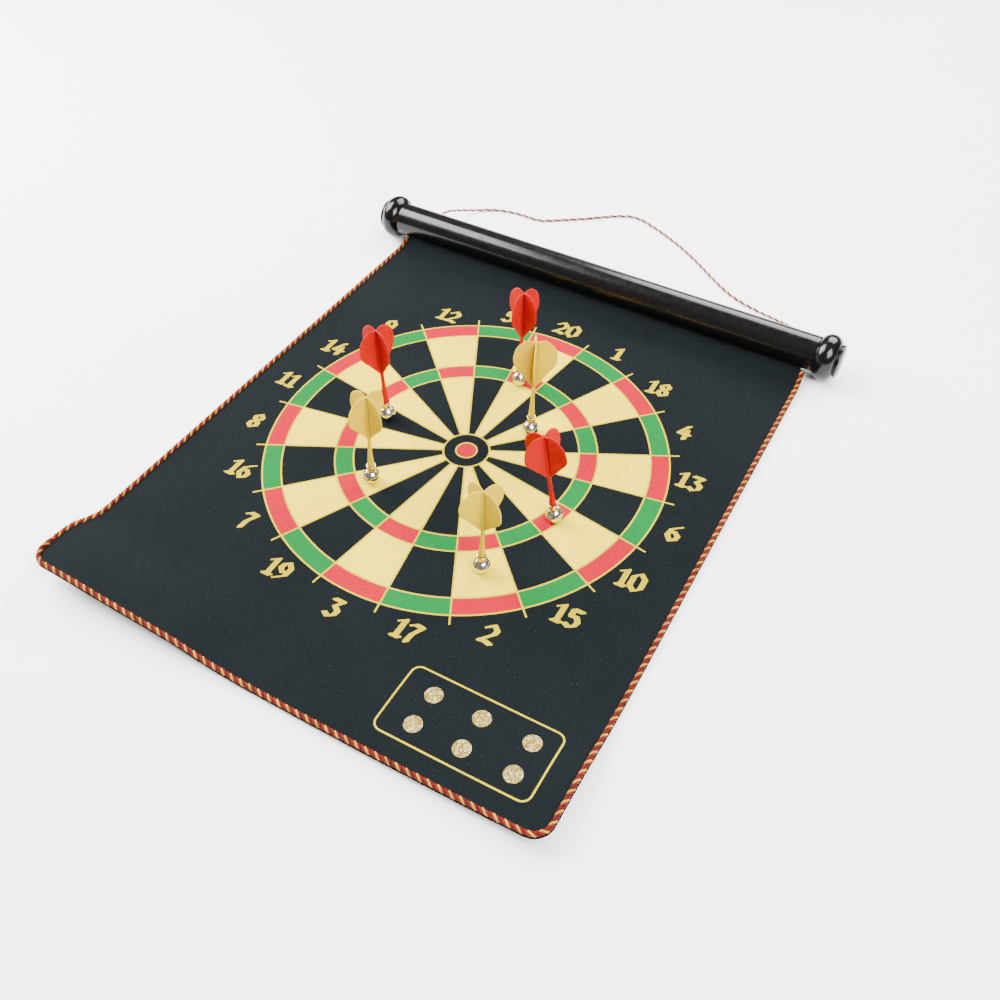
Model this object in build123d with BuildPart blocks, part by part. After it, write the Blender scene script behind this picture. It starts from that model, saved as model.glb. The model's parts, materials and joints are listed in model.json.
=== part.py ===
from build123d import *
import math
import os

# A roll-up magnetic dartboard lying open on a floor, with six magnetic darts standing on it.
# Millimetres. X runs across the board, Y up the board towards the tube, Z up from the floor.
# The origin is on the floor, under the middle of the board's bounding box.

# Roller tube and its caps
tube_r = 13.2  # outside radius
tube_wall = 1.4
tube_half = 183.7  # half the length, cap to cap
tube_y = 203.8  # the tube's middle
tube_z = 17.5  # the tube is carried by its end caps
tube_skew = -0.97  # degrees about Z: the sheet leaves the tube slightly askew
slot_angle = 225.0  # the slot points forward and down
slot_width = 3.0
cap_bulb_r = 17.5
spigot_r = 11.7
spigot_length = 6.0
cord_hole_r = 1.7
cord_hole_x = 160.0  # each side of the tube's middle

# Sheet: back cloth, iron sheet and printed front cloth
back_cloth_t = 0.8
iron_t = 0.6
front_cloth_t = 0.6
mat_t = back_cloth_t + iron_t + front_cloth_t
mat_x = 1.4  # the sheet hangs a little off the tube's centre
mat_half = 180.0  # half the width, over the piping
mat_front_y = -224.5  # free end
hinge_reach = 14.7  # tube centre to the fold line at the slot
hem_x = 1.4
hem_half = 175.5
fold_gap = 0.5  # clearance each side of the fold line
rod_r = 2.2

# Piping sewn round the edge, and the hanging cord
piping_r = 1.6
piping_inset = mat_half - piping_r  # piping centre from the sheet's middle
piping_z = back_cloth_t + piping_r
front_half = piping_inset - piping_r - 0.2  # half the width of the layers inside the piping
cord_r = 1.0

# Roll-up end of the sheet
strip_count = 9
strip_pitch = 12.5
strip_gap = 0.15  # each side of a fold line
bevel = math.tan(math.radians(38))  # strip ends lean back, so that the strips can curl upwards
corner_r = 12.0
fold_y = mat_front_y + strip_count * strip_pitch  # the first fold line of the roll-up end

# Darts: standing place on the dial, fin turn, lean and the direction of the lean, in degrees
dial_x, dial_y = 1.4, 0.5
darts = {
    "red_dart_1": (-66.0, 0.9, 77.8, 1.0, 268.4),
    "red_dart_2": (-1.8, 80.0, 68.8, 1.9, 74.0),
    "red_dart_3": (82.2, -26.8, 83.9, 6.5, 240.0),
    "yellow_dart_1": (-40.3, -55.9, 80.7, 4.0, 347.1),
    "yellow_dart_2": (30.6, 36.8, 31.4, 2.1, 69.5),
    "yellow_dart_3": (62.6, -85.7, 67.7, 4.6, 321.6),
}
nap = 0.3  # the cloth's nap holds the foot this far off its backing
ball_r = 5.8
ball_z = 4.7  # ball centre above the foot's face
magnet_r = 2.8
magnet_t = 2.0
seat = 5.6  # ball centre to the collar's seat, along the dart
spigot_t = 1.6  # the foot's own spigot inside the collar
collar_r = 2.95
collar_bore_r = 2.0
collar_length = 5.2
plug_length = 3.3
stem_length = 27.2
flight_length = 38.0
fin_r = 14.6
fin_t = 0.9
clearance = 0.05

os.makedirs("parts", exist_ok=True)


def save(piece, node):
    """Labels a finished piece and writes its file."""
    piece.part.label = node
    export_step(piece.part, f"parts/{node}.step")


# ---------------------------------------------------------------- roller tube
skew = math.radians(tube_skew)
along = Vector(math.cos(skew), math.sin(skew), 0)  # along the tube
across = Vector(-math.sin(skew), math.cos(skew), 0)  # towards the back of the tube
tube_centre = Vector(0, tube_y, tube_z)
section = Plane(origin=tube_centre, x_dir=across, z_dir=along)  # local x is back, local y is up
slot_rad = math.radians(slot_angle)
slot_out = across * math.cos(slot_rad) + Vector(0, 0, math.sin(slot_rad))
slot_plane = Plane(origin=tube_centre, x_dir=slot_out, z_dir=along)  # local x runs out of the slot
back_plane = Plane(origin=tube_centre, x_dir=along, z_dir=across)
bore_r = tube_r - tube_wall

with BuildPart() as roller_tube:
    with BuildSketch(section):
        Circle(tube_r)
        Circle(bore_r, mode=Mode.SUBTRACT)
    extrude(amount=tube_half, both=True)
    with BuildSketch(slot_plane):
        Rectangle(2 * tube_r, slot_width, align=(Align.MIN, Align.CENTER))
    extrude(amount=tube_half, both=True, mode=Mode.SUBTRACT)
    with BuildSketch(back_plane):
        with Locations((-cord_hole_x, 0), (cord_hole_x, 0)):
            Circle(cord_hole_r)
    extrude(amount=2 * tube_r, mode=Mode.SUBTRACT)
save(roller_tube, "roller_tube")

# ---------------------------------------------------------------- end caps
for side, hand in ((-1, "left"), (1, "right")):
    outward = along * side
    cap_plane = Plane(
        origin=tube_centre + outward * tube_half,
        x_dir=outward,
        z_dir=outward.cross(Vector(0, 0, 1)),
    )
    with BuildPart() as end_cap:
        with BuildSketch(cap_plane):
            with BuildLine():
                Polyline(
                    (-spigot_length, 0), (-spigot_length, spigot_r), (0, spigot_r), (0, tube_r - 0.3),
                )
                ThreePointArc((0, tube_r - 0.3), (8.4, cap_bulb_r), (15.9, 11.9))
                Line((15.9, 11.9), (16.4, 12.3))
                ThreePointArc((16.4, 12.3), (17.2, 12.7), (18.0, 12.3))
                Polyline((18.0, 12.3), (18.0, 11.3), (18.8, 10.0), (19.6, 0), (-spigot_length, 0))
            make_face()
        revolve(axis=Axis(cap_plane.origin, outward))
        with BuildSketch(Plane(origin=cap_plane.origin - outward * spigot_length, z_dir=outward)):
            Circle(spigot_r - 1.9)
        extrude(amount=20, mode=Mode.SUBTRACT)
    save(end_cap, f"end_cap_{hand}")

# ---------------------------------------------------------------- hem and its rod, inside the tube
loop_r = rod_r + 0.1 + 1.0
rod_x = 2.6  # rod centre from the tube's centre, towards the slot

with BuildPart() as hem_rod:
    with BuildSketch(slot_plane):
        with Locations((rod_x, 0)):
            Circle(rod_r)
    extrude(amount=hem_half - 3, both=True)
save(hem_rod, "hem_rod")

with BuildPart() as mat_hem:
    with BuildSketch(slot_plane.offset(hem_x)):
        with Locations((rod_x, 0)):
            Circle(loop_r)
            Rectangle(hinge_reach - fold_gap - rod_x, mat_t, align=(Align.MIN, Align.CENTER))
            Circle(rod_r + 0.1, mode=Mode.SUBTRACT)
    extrude(amount=hem_half, both=True)
save(mat_hem, "mat_hem")

# ---------------------------------------------------------------- neck of the sheet, slot to floor
turn = math.radians(slot_angle - 180)  # how far the neck bends on its way to the floor
neck_start = hinge_reach + fold_gap
neck_r = (tube_z - neck_start * math.sin(turn) - mat_t / 2) / (1 - math.cos(turn))
flat_back = neck_start * math.cos(turn) + neck_r * math.sin(turn)  # tube centre to the flat sheet
arc_centre = (-flat_back, neck_r + mat_t / 2 - tube_z)


def flat_line(x):
    """Y of the line where the sheet meets the floor, which runs along the tube, at this X."""
    return tube_y - flat_back / math.cos(skew) + x * math.tan(skew)


def narrow_line(x):
    """Y of the line where the neck is down to the hem's width, just short of the slot."""
    return tube_y - (neck_start + 2.5) * math.cos(turn) / math.cos(skew) + x * math.tan(skew)


def on_arc(radius, degrees):
    """A point of the neck's section, round its arc's centre, from the floor up."""
    a = math.radians(degrees)
    return (arc_centre[0] + radius * math.sin(a), arc_centre[1] - radius * math.cos(a))


bend = math.degrees(turn)
inner, outer = neck_r - mat_t / 2, neck_r + mat_t / 2
with BuildPart() as mat_neck:
    with BuildSketch(section):
        with BuildLine():
            ThreePointArc(on_arc(inner, 0), on_arc(inner, bend / 2), on_arc(inner, bend))
            Line(on_arc(inner, bend), on_arc(outer, bend))
            ThreePointArc(on_arc(outer, bend), on_arc(outer, bend / 2), on_arc(outer, 0))
            Line(on_arc(outer, 0), on_arc(inner, 0))
        make_face()
    extrude(amount=mat_half + 20, both=True)
    with BuildSketch(Plane.XY.offset(-1)):
        with BuildLine():
            Polyline(
                (mat_x - front_half, flat_line(mat_x - front_half)),
                (hem_x - hem_half, narrow_line(hem_x - hem_half)),
                (hem_x - hem_half, tube_y + 20),
                (hem_x + hem_half, tube_y + 20),
                (hem_x + hem_half, narrow_line(hem_x + hem_half)),
                (mat_x + front_half, flat_line(mat_x + front_half)),
                (mat_x + front_half, flat_line(mat_x + front_half) - 20),
                (mat_x - front_half, flat_line(mat_x - front_half) - 20),
                close=True,
            )
        make_face()
    extrude(amount=2 * tube_z, mode=Mode.INTERSECT)
save(mat_neck, "mat_neck")

piping_end = slot_plane.from_local_coords((neck_start + 1.6, mat_t / 2 - piping_z, 0))
with BuildPart() as neck_piping:
    for side in (-1, 1):
        x = mat_x + side * piping_inset
        start = Vector(x, flat_line(x), piping_z)
        end = piping_end + along * (hem_x + side * (hem_half + 2.0))
        with BuildLine() as run:
            TangentArc(start, end, tangent=(0, 1, 0))
        with BuildSketch(Plane(origin=start, z_dir=(0, 1, 0))):
            Circle(piping_r)
        sweep(path=run.line)
save(neck_piping, "neck_piping")


# ---------------------------------------------------------------- flat part of the sheet
def slab(half, bottom, thickness):
    """One layer of the flat sheet, from the first fold line to the neck."""
    with BuildPart() as layer:
        with BuildSketch(Plane.XY.offset(bottom)):
            with BuildLine():
                Polyline(
                    (mat_x - half, fold_y + strip_gap),
                    (mat_x + half, fold_y + strip_gap),
                    (mat_x + half, flat_line(mat_x + half)),
                    (mat_x - half, flat_line(mat_x - half)),
                    close=True,
                )
            make_face()
        extrude(amount=thickness)
    return layer


save(slab(mat_half, 0, back_cloth_t), "mat_back_cloth")
save(slab(front_half, back_cloth_t, iron_t), "mat_iron_sheet")
save(slab(front_half, back_cloth_t + iron_t, front_cloth_t), "mat_front_cloth")

with BuildPart() as mat_piping:
    for side in (-1, 1):
        x = mat_x + side * piping_inset
        length = flat_line(x) - fold_y - 0.6
        with BuildSketch(Plane(origin=(x, flat_line(x), piping_z), z_dir=(0, -1, 0))):
            Circle(piping_r)
        extrude(amount=length)
save(mat_piping, "mat_piping")


# ---------------------------------------------------------------- roll-up end, strip by strip
rim = mat_half - front_half  # width of the back cloth's ledge under the piping
prism_top = piping_z + piping_r + 1
lean_back = bevel * (prism_top - mat_t / 2)  # how far a strip's end leans back at the prism's top

for k in range(1, strip_count + 1):
    last = k == strip_count
    back = fold_y - (k - 1) * strip_pitch - strip_gap
    front = mat_front_y if last else back - strip_pitch + 2 * strip_gap
    left, right = mat_x - piping_inset, mat_x + piping_inset
    near = (front, -1), (front, mat_t / 2), (front if last else front + lean_back, prism_top)
    prism = Plane.YZ.offset(mat_x)

    with BuildPart() as mat_strip:
        for half, ledge, bottom, thickness in (
            (mat_half, 0, 0, back_cloth_t),
            (front_half, rim, back_cloth_t, mat_t - back_cloth_t),
        ):
            low = front + ledge if last else front
            with BuildSketch(Plane.XY.offset(bottom)):
                with BuildLine() as outline:
                    Polyline(
                        (mat_x - half, back), (mat_x + half, back),
                        (mat_x + half, low), (mat_x - half, low),
                        close=True,
                    )
                    if last:
                        fillet(outline.vertices().group_by(Axis.Y)[0], radius=corner_r - ledge)
                make_face()
            extrude(amount=thickness)
        with BuildSketch(prism):
            with BuildLine():
                Polyline(
                    *near, (back - lean_back, prism_top), (back, mat_t / 2), (back, -1), close=True
                )
            make_face()
        extrude(amount=mat_half + 10, both=True, mode=Mode.INTERSECT)
    save(mat_strip, f"mat_strip_{k}")

    with BuildPart() as strip_piping:
        if last:
            low = front + piping_r
            with BuildLine() as run:
                FilletPolyline(
                    (left, back, piping_z), (left, low, piping_z),
                    (right, low, piping_z), (right, back, piping_z),
                    radius=corner_r - piping_r,
                )
            with BuildSketch(Plane(origin=(left, back, piping_z), z_dir=(0, -1, 0))):
                Circle(piping_r)
            sweep(path=run.line)
        else:
            for x in (left, right):
                with BuildSketch(Plane(origin=(x, back, piping_z), z_dir=(0, -1, 0))):
                    Circle(piping_r)
                extrude(amount=back - front)
        with BuildSketch(prism):
            with BuildLine():
                Polyline(
                    *near, (back - lean_back, prism_top), (back, mat_t / 2), (back, -1), close=True
                )
            make_face()
        extrude(amount=mat_half + 10, both=True, mode=Mode.INTERSECT)
    save(strip_piping, f"piping_strip_{k}")

# ---------------------------------------------------------------- hanging cord
knot_r = 3.0
knot_back = bore_r - knot_r - 0.2  # knots sit against the tube's wall, behind its centre
with BuildPart() as cord_knots:
    for side in (-1, 1):
        knot = back_plane.offset(knot_back).from_local_coords((side * cord_hole_x, 0, 0))
        with BuildSketch(Plane(origin=knot, x_dir=across, z_dir=(0, 0, 1))):
            with BuildLine():
                ThreePointArc((-knot_r, 0), (0, knot_r), (knot_r, 0))
                Line((knot_r, 0), (-knot_r, 0))
            make_face()
        revolve(axis=Axis(knot, across))
save(cord_knots, "cord_knots")

cord_start = knot_back + knot_r + 0.05
cord_left, bend_left, cord_right, bend_right = (
    tuple(back_plane.from_local_coords((x, 0, depth)))
    for x in (-cord_hole_x, cord_hole_x)
    for depth in (cord_start, tube_r + 6)
)
cord_route = [
    cord_left,
    bend_left,
    (-160.6, 238.0, 15.5),
    (-159.6, 256.0, 7.0),
    (-151.6, 271.0, 1.5),
    (-134.6, 283.0, 1.1),
    (-111.6, 286.0, 1.1),
    (-92.6, 284.0, 1.1),
    (-77.6, 294.0, 1.1),
    (-53.6, 311.0, 1.1),
    (-35.6, 326.0, 1.1),
    (-19.6, 333.0, 1.1),
    (1.4, 325.0, 1.1),
    (26.4, 312.0, 1.1),
    (52.4, 295.0, 1.1),
    (74.4, 277.0, 1.1),
    (96.4, 261.0, 1.1),
    (118.4, 252.0, 1.8),
    (139.4, 243.0, 5.0),
    (156.4, 229.0, 13.0),
    bend_right,
    cord_right,
]


def arc_radii(route):
    """The largest even radius at each corner: 0.45 of the shorter run over the half turn's tangent."""
    points = [Vector(*p) for p in route]
    radii = []
    for before, corner, after in zip(points, points[1:], points[2:]):
        first, second = corner - before, after - corner
        half_turn = math.radians(first.get_angle(second)) / 2
        radii.append(0.45 * min(first.length, second.length) / math.tan(half_turn))
    return radii


radii = arc_radii(cord_route)
with BuildPart() as hanging_cord:
    with BuildLine() as route:
        FilletPolyline(*cord_route, radius=radii)
    with BuildSketch(Plane(origin=route.line @ 0, z_dir=route.line % 0)):
        Circle(cord_r)
    sweep(path=route.line)
save(hanging_cord, "hanging_cord")
print("cord radii", [round(r, 1) for r in radii])
cord_length = route.wires()[0].length
cord_volume = math.pi * cord_r**2 * cord_length
print("cord length", round(cord_length, 1))
print("cord volume over section times length", round(hanging_cord.part.volume / cord_volume, 4))


# ---------------------------------------------------------------- darts
def turned_outline(plane, shape):
    """A closed outline of (radius, height) points, standing on the plane's own Z axis."""
    with BuildSketch(Plane(origin=plane.origin, x_dir=plane.x_dir, z_dir=-plane.y_dir)) as outline:
        with BuildLine():
            Polyline(*shape, close=True)
        make_face()
    return outline.sketch


def build_dart(name, x, y, fin_turn, lean, towards):
    """One dart: ball foot, magnet in its base, collar on its top, and the flight plugged into the collar."""
    foot_plane = Plane(origin=(dial_x + x, dial_y + y, mat_t + nap))
    direction = math.radians(towards)
    lean_axis = Vector(-math.sin(direction), math.cos(direction), 0)
    up = Vector(0, 0, 1).rotate(Axis((0, 0, 0), lean_axis), lean)
    fins = Vector(math.cos(math.radians(fin_turn)), math.sin(math.radians(fin_turn)), 0)
    fins = (fins - up * fins.dot(up)).normalized()
    dart_plane = Plane(origin=foot_plane.origin + Vector(0, 0, ball_z), x_dir=fins, z_dir=up)

    with BuildPart() as foot:
        with BuildSketch(Plane(origin=foot_plane.origin, x_dir=(1, 0, 0), z_dir=(0, -1, 0))):
            with BuildLine():
                base_r = math.sqrt(ball_r**2 - ball_z**2)
                Line((0, 0), (base_r + 0.6, 0))
                Line((base_r + 0.6, 0), (base_r + 0.6, 0.5))
                ThreePointArc((base_r + 0.6, 0.5), (ball_r, ball_z), (0, ball_z + ball_r))
                Line((0, ball_z + ball_r), (0, 0))
            make_face()
        revolve(axis=Axis(foot_plane.origin, foot_plane.z_dir))
        with BuildSketch(dart_plane):
            Circle(collar_r + 0.25)
        extrude(amount=seat)
        with BuildSketch(dart_plane.offset(seat)):
            Circle(collar_bore_r - clearance)
        extrude(amount=spigot_t)
        with BuildSketch(foot_plane):
            Circle(magnet_r + clearance)
        extrude(amount=magnet_t + clearance, mode=Mode.SUBTRACT)
    save(foot, f"{name}_foot")

    with BuildPart() as magnet:
        with BuildSketch(foot_plane):
            Circle(magnet_r)
        extrude(amount=magnet_t)
        chamfer(magnet.edges(), 0.2)
    save(magnet, f"{name}_magnet")

    with BuildPart() as collar:
        shape = [
            (collar_bore_r, 0), (collar_r, 0), (collar_r, collar_length - 1.4),
            (collar_r + 0.25, collar_length - 1.1), (collar_r + 0.25, collar_length),
            (collar_bore_r + 0.3, collar_length), (collar_bore_r, collar_length - 0.4),
        ]
        revolve(
            turned_outline(dart_plane.offset(seat), shape), axis=Axis(dart_plane.origin, dart_plane.z_dir)
        )
    save(collar, f"{name}_collar")

    top = seat + collar_length
    with BuildPart() as flight:
        fin_top = top + stem_length + flight_length
        shape = [
            (0, top - plug_length), (collar_bore_r - clearance, top - plug_length),
            (collar_bore_r - clearance, top + 0.1), (2.35, top + 0.1), (2.35, top + 2.0),
            (1.3, top + 15.0), (1.2, top + stem_length),
            (0.8, fin_top - 4), (0, fin_top - 4),
        ]
        revolve(turned_outline(dart_plane, shape), axis=Axis(dart_plane.origin, dart_plane.z_dir))
        root = top + stem_length - 1
        for radial in (dart_plane.x_dir, dart_plane.y_dir):
            with BuildSketch(Plane(origin=dart_plane.origin, x_dir=radial, z_dir=radial.cross(up))):
                for hand in (-1, 1):
                    with BuildLine():
                        Line((0, root), (hand * 1.2, root))
                        Spline(
                            (hand * 1.2, root), (hand * 0.57 * fin_r, root + 10.5),
                            (hand * 0.92 * fin_r, root + 17.9), (hand * fin_r, root + 23.7),
                            (hand * 0.89 * fin_r, root + 31.6), (hand * 0.57 * fin_r, root + 36.9),
                            (hand * 0.30 * fin_r, root + 38.2), (0, root + 36.9),
                        )
                        Line((0, root + 36.9), (0, root))
                    make_face()
            extrude(amount=fin_t / 2, both=True)
    save(flight, f"{name}_flight")


for name, place in darts.items():
    build_dart(name, *place)
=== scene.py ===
import bpy
import json
import math
import numpy as np
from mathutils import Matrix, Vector
from mathutils.geometry import delaunay_2d_cdt


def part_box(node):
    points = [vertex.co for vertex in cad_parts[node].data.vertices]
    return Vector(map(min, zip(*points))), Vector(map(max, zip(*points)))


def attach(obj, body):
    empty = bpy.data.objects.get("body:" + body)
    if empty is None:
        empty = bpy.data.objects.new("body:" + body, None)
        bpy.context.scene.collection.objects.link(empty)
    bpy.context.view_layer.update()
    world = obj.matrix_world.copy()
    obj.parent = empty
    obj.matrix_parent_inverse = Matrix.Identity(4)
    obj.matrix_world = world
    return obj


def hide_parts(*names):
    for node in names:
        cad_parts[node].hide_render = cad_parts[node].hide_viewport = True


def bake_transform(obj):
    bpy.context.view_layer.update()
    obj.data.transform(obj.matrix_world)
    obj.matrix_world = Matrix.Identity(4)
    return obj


# A roll-up magnetic dartboard lying open, with six magnetic darts standing on it. Metres in the scene;
# the sheet and its print are worked out in millimetres of the flat sheet and scaled on the way in.

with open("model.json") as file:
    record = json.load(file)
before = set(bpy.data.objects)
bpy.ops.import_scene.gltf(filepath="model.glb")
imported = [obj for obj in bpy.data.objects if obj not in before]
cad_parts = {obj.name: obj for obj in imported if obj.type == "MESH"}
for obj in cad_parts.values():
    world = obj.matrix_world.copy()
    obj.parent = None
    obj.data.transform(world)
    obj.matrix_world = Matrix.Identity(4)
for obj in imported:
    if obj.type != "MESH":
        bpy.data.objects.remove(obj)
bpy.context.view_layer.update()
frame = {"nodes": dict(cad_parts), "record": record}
MM = 0.001
joints = {j["name"]: j for j in frame["record"]["behaviour"]["joints"]}
scene = bpy.context.scene


# ------------------------------------------------------------------ camera
camera_data = bpy.data.cameras.new("camera")
camera_data.lens, camera_data.sensor_width = 34.945, 36.0
camera_data.clip_start, camera_data.clip_end = 0.01, 20
camera = bpy.data.objects.new("camera", camera_data)
camera.location = (0.26143, -0.40352, 0.47531)
camera.rotation_euler = [math.radians(a) for a in (42.4422, 0.3495, 29.6434)]
scene.collection.objects.link(camera)
scene.camera = camera


# ------------------------------------------------------------------ small helpers
def link(obj):
    scene.collection.objects.link(obj)
    return obj


def mesh_object(name, verts, faces, materials=(), face_material=None, smooth=True, uv=None):
    """A mesh object; uv is one (u, v) pair per vertex."""
    data = bpy.data.meshes.new(name)
    data.from_pydata([tuple(map(float, v)) for v in verts], [], [list(map(int, f)) for f in faces])
    for m in materials:
        data.materials.append(m)
    if face_material is not None:
        data.polygons.foreach_set("material_index", np.asarray(face_material, np.int32))
    data.polygons.foreach_set("use_smooth", np.full(len(data.polygons), smooth))
    if uv is not None:
        layer = data.uv_layers.new(name="Flat")
        loops = np.empty(len(data.loops), np.int32)
        data.loops.foreach_get("vertex_index", loops)
        layer.data.foreach_set("uv", np.asarray(uv, np.float32)[loops].ravel())
    data.update()
    return link(bpy.data.objects.new(name, data))


class Nodes:
    """Short names for building a node material."""

    def __init__(self, name, **sockets):
        self.mat = bpy.data.materials.new(name)
        self.mat.use_nodes = True
        self.tree = self.mat.node_tree
        self.bsdf = self.tree.nodes["Principled BSDF"]
        for key, value in sockets.items():
            self.bsdf.inputs[key.replace("_", " ")].default_value = value

    def new(self, kind, **values):
        node = self.tree.nodes.new(kind)
        for key, value in values.items():
            if hasattr(node, key):
                setattr(node, key, value)
            else:
                node.inputs[key.replace("_", " ")].default_value = value
        return node

    def wire(self, source, target):
        self.tree.links.new(source, target)

    def maths(self, operation, a, b=0.0):
        node = self.new("ShaderNodeMath", operation=operation)
        for socket, value in zip(node.inputs, (a, b)):
            if isinstance(value, (int, float)):
                socket.default_value = value
            else:
                self.wire(value, socket)
        return node.outputs[0]

    def mix(self, share, a, b):
        node = self.new("ShaderNodeMix", data_type="RGBA")
        for socket, value in zip((node.inputs[0], node.inputs[6], node.inputs[7]), (share, a, b)):
            if isinstance(value, (int, float, tuple)):
                socket.default_value = value
            else:
                self.wire(value, socket)
        return node.outputs[2]

    def ramp(self, source, low, high, a=0.0, b=1.0):
        node = self.new("ShaderNodeMapRange")
        node.inputs[1].default_value, node.inputs[2].default_value = low, high
        node.inputs[3].default_value, node.inputs[4].default_value = a, b
        self.wire(source, node.inputs[0])
        return node.outputs[0]

    def noise(self, coords, scale, detail=2.0, roughness=0.5):
        node = self.new("ShaderNodeTexNoise")
        node.inputs["Scale"].default_value = scale
        node.inputs["Detail"].default_value = detail
        node.inputs["Roughness"].default_value = roughness
        if coords is not None:
            self.wire(coords, node.inputs["Vector"])
        return node.outputs[0]

    def bump(self, height, distance):
        node = self.new("ShaderNodeBump")
        node.inputs["Strength"].default_value = 1.0
        node.inputs["Distance"].default_value = distance
        self.wire(height, node.inputs["Height"])
        self.wire(node.outputs[0], self.bsdf.inputs["Normal"])

    def colour(self, source):
        self.wire(source, self.bsdf.inputs["Base Color"])


def object_coords(n):
    return n.new("ShaderNodeTexCoord").outputs["Object"]


# ------------------------------------------------------------------ materials
CLOTH_RIB, CLOTH_THREAD = 0.0011, 0.0007  # spacing of the ribs and of the threads across them


def cloth_material(name, colour, mottle=0.12, lint=0.0, sparkle=0.0):
    """Printed ribbed cloth: fine ribs run up the sheet, threads cross them, ink lies unevenly in clouds and
    grain, and painted shade darkens the rib troughs and lightens their crests.
    """
    n = Nodes(name, Roughness=0.85)
    n.bsdf.inputs["Specular IOR Level"].default_value = 0.06
    uv = n.new("ShaderNodeUVMap", uv_map="Flat").outputs[0]
    split = n.new("ShaderNodeSeparateXYZ")
    n.wire(uv, split.inputs[0])
    wander = n.noise(uv, 60.0, 2.0)
    across = n.maths("ADD", split.outputs[0], n.maths("MULTIPLY", wander, 0.0009))
    ribs = n.maths("SINE", n.maths("MULTIPLY", across, 2 * math.pi / CLOTH_RIB))
    threads = n.maths("SINE", n.maths("MULTIPLY", split.outputs[1], 2 * math.pi / CLOTH_THREAD))
    fuzz = n.noise(uv, 1500.0, 3.0, 0.7)
    height = n.maths("ADD", n.maths("MULTIPLY", ribs, 0.5), n.maths("MULTIPLY", threads, 0.18))
    height = n.maths("ADD", height, n.maths("MULTIPLY", fuzz, 0.9))
    n.bump(height, 0.00022)
    clouds = n.noise(uv, 14.0, 4.0, 0.6)
    grain = n.noise(uv, 900.0, 2.0, 0.6)
    shade = n.maths("ADD", n.ramp(clouds, 0.3, 0.7, -0.5, 0.5), n.ramp(grain, 0.3, 0.7, -1.0, 1.0))
    # painted shade: the rib term makes the crests lighter and the troughs darker, in step with the rib bump
    shade = n.maths("ADD", shade, n.maths("MULTIPLY", ribs, 0.8))
    light = tuple(min(1.0, c * (1 + 1.6 * mottle) + 0.0005) for c in colour[:3]) + (1.0,)
    dark = tuple(c * (1 - 1.6 * mottle) for c in colour[:3]) + (1.0,)
    base = n.mix(n.ramp(shade, -2.0, 2.0), dark, light)
    if lint:
        specks = n.noise(uv, 700.0, 1.0, 0.5)
        base = n.mix(n.ramp(specks, 0.72, 0.82, 0.0, lint), base, (0.10, 0.11, 0.12, 1.0))
    if sparkle:
        cells = n.new("ShaderNodeTexVoronoi")
        cells.inputs["Scale"].default_value = 1400.0
        n.wire(uv, cells.inputs["Vector"])
        flakes = n.new("ShaderNodeSeparateColor")
        n.wire(cells.outputs["Color"], flakes.inputs[0])
        base = n.mix(n.ramp(flakes.outputs[0], 0.45, 1.0, 0.0, sparkle), base, (1.0, 0.93, 0.55, 1.0))
        n.wire(n.ramp(flakes.outputs[1], 0.0, 1.0, 0.25, 0.75), n.bsdf.inputs["Roughness"])
        n.bsdf.inputs["Metallic"].default_value = 0.25
    n.colour(base)
    return n.mat


BLACK = cloth_material("cloth_black", (0.0032, 0.0050, 0.0060), mottle=0.30, lint=0.25)
CREAM = cloth_material("print_cream", (0.74, 0.54, 0.010), mottle=0.03)
RED = cloth_material("print_red", (0.34, 0.003, 0.014), mottle=0.04)
GREEN = cloth_material("print_green", (0.0, 0.125, 0.022), mottle=0.04)
YELLOW = cloth_material("print_yellow", (0.42, 0.33, 0.0), mottle=0.03)
GOLD = cloth_material("print_gold", (0.38, 0.28, 0.0), mottle=0.06)
GLITTER = cloth_material("print_glitter", (0.17, 0.11, 0.010), mottle=0.22, sparkle=0.42)
BACK = cloth_material("cloth_back", (0.0032, 0.0042, 0.0050), mottle=0.25, lint=0.2)
PRINT = [BLACK, CREAM, RED, GREEN, YELLOW, GOLD, GLITTER, BACK]
K_BLACK, K_CREAM, K_RED, K_GREEN, K_YELLOW, K_GOLD, K_GLITTER, K_BACK = range(8)


def thread_material(name, colour, dark):
    """Glossy spun thread with fine fibres along the strand."""
    n = Nodes(name, Roughness=0.6)
    n.bsdf.inputs["Specular IOR Level"].default_value = 0.15
    coords = object_coords(n)
    fibres = n.noise(coords, 2600.0, 3.0, 0.7)
    patches = n.noise(coords, 160.0, 2.0)
    n.colour(n.mix(n.ramp(n.maths("ADD", fibres, patches), 0.7, 1.3), dark, colour))
    n.bump(fibres, 0.00025)
    return n.mat


THREAD_RED = thread_material("thread_red", (0.125, 0.0015, 0.001, 1.0), (0.035, 0.0005, 0.0005, 1.0))
THREAD_ORANGE = thread_material("thread_orange", (0.17, 0.009, 0.002, 1.0), (0.05, 0.002, 0.001, 1.0))
THREAD_GOLD = thread_material("thread_gold", (0.55, 0.29, 0.012, 1.0), (0.20, 0.07, 0.004, 1.0))
CORD_RED = thread_material("cord_red", (0.130, 0.0004, 0.005, 1.0), (0.075, 0.0002, 0.002, 1.0))
CORD_WHITE = thread_material("cord_white", (0.66, 0.52, 0.42, 1.0), (0.36, 0.22, 0.16, 1.0))


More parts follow.
